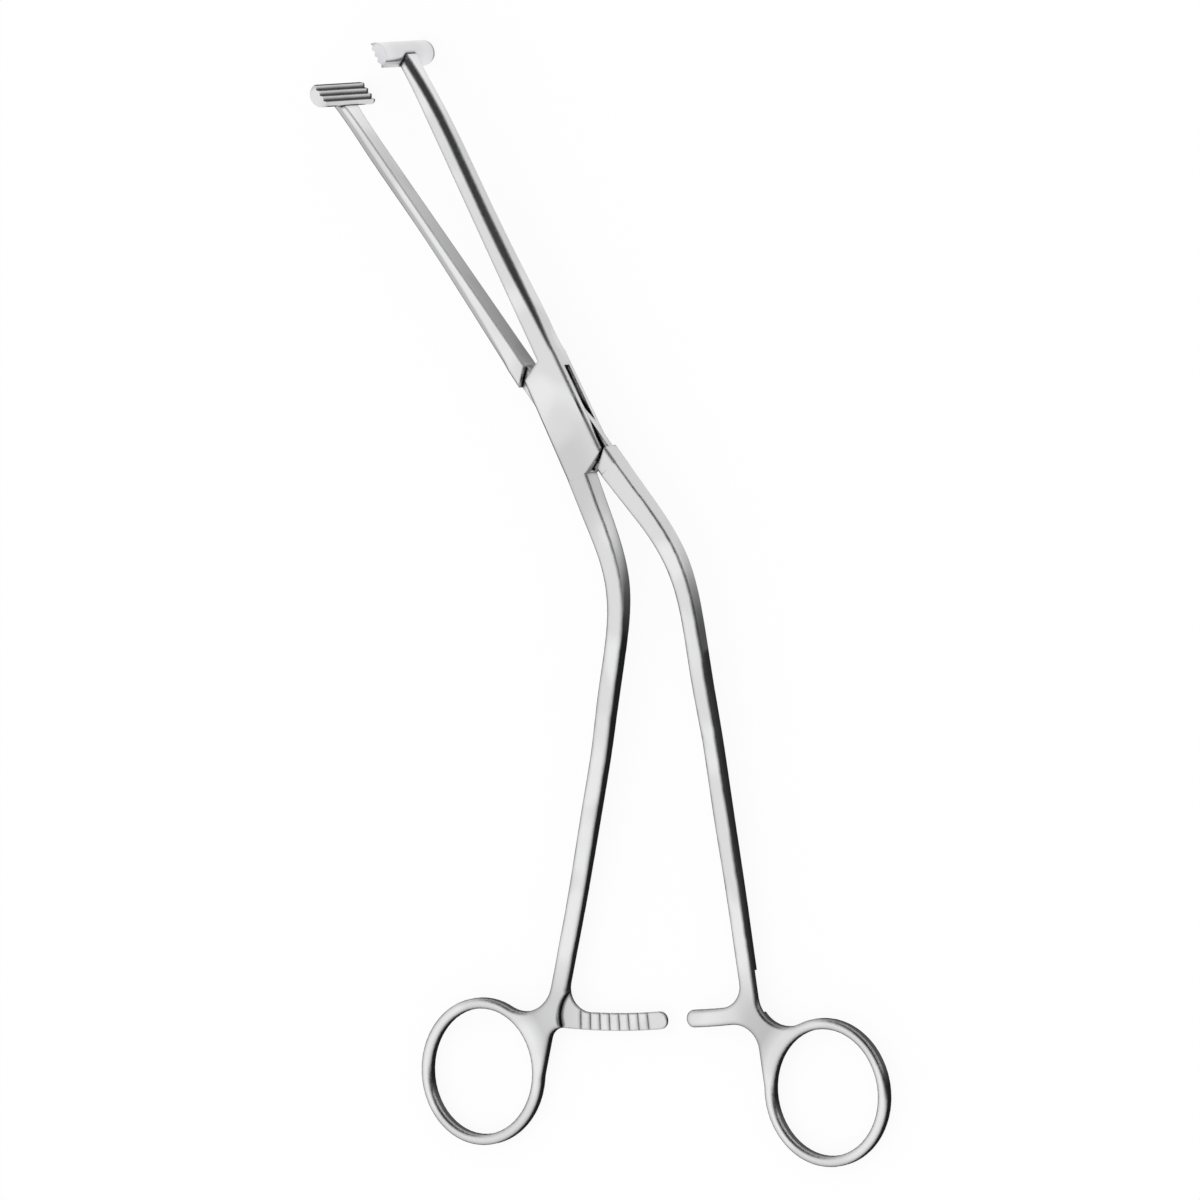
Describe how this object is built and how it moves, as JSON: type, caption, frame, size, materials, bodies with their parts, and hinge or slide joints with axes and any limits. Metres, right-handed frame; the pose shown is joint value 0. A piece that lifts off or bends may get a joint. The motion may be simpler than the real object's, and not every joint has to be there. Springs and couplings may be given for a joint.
{
  "type": "capsule forceps",
  "caption": "Ring-handled capsule forceps with long straight jaws that end in ridged cross bars, handles angled in the ring plane, a box lock and a ratchet between the rings.",
  "frame": {"origin": "on the pivot axis, at the back face of the box lock", "axes": "+Z along the pivot axis out of the front face, +Y towards the jaws and square to the line that joins the two finger rings, +X towards the tongue half's ring"},
  "size_m": [0.1264, 0.2214, 0.021],
  "materials": {
    "satin_steel": "satin, finely ground",
    "bar_steel": "satin, with bright ridges",
    "rivet_steel": "satin, ground flush"
  },
  "bodies": {
    "box_side": {"box_half": "satin_steel", "pivot_pin": "rivet_steel", "box_jaw_bar": "bar_steel"},
    "tongue_side": {"tongue_half": "satin_steel", "tongue_jaw_bar": "bar_steel"}
  },
  "joints": [
    {"name": "box_lock", "type": "hinge", "parent": "box_side", "child": "tongue_side", "pos_m": [0, 0, 0.0028], "axis": [0, 0, 1], "range_deg": [-10.4, 109]}
  ]
}
